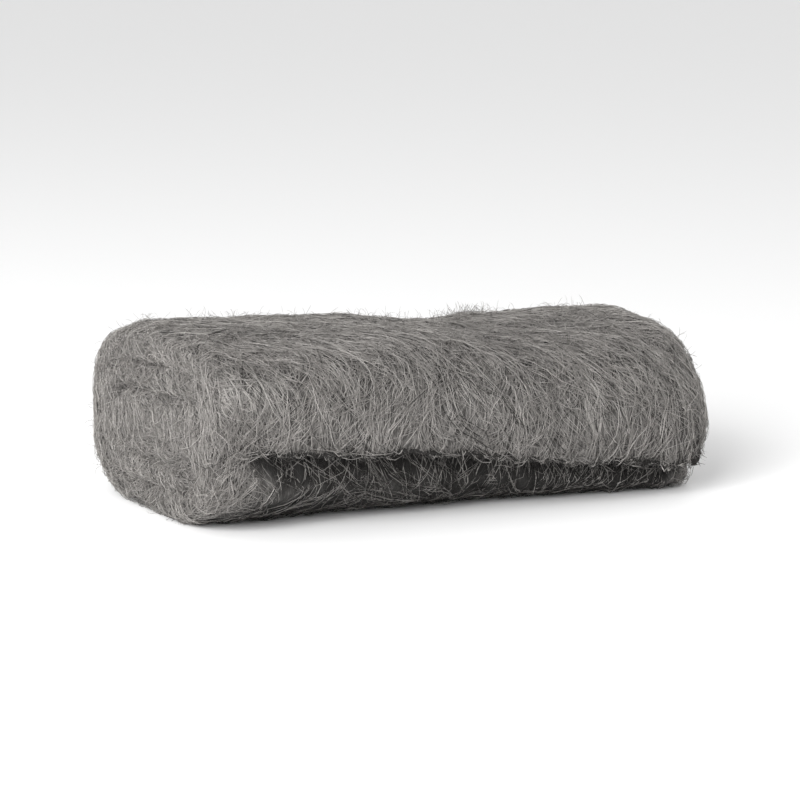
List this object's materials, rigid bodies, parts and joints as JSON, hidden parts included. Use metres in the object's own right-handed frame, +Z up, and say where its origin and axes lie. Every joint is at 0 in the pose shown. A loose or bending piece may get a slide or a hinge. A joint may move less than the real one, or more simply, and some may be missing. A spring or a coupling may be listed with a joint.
{
  "type": "steel wool pad",
  "caption": "Hand pad of fine steel wool: a ribbon of wool rolled up and pressed flat, for rubbing down wood and metal.",
  "frame": {"origin": "middle of the underside", "axes": "+X along the roll, -Y the side with the ribbon's outer lip, +Z up"},
  "size_m": [0.118, 0.0794, 0.0397],
  "materials": {
    "steel_wool": "fine bare steel fibres, dull grey with small glints, running round the roll and curled at its ends"
  },
  "bodies": {
    "root": {"steel_wool_pad": "steel_wool"}
  },
  "joints": []
}
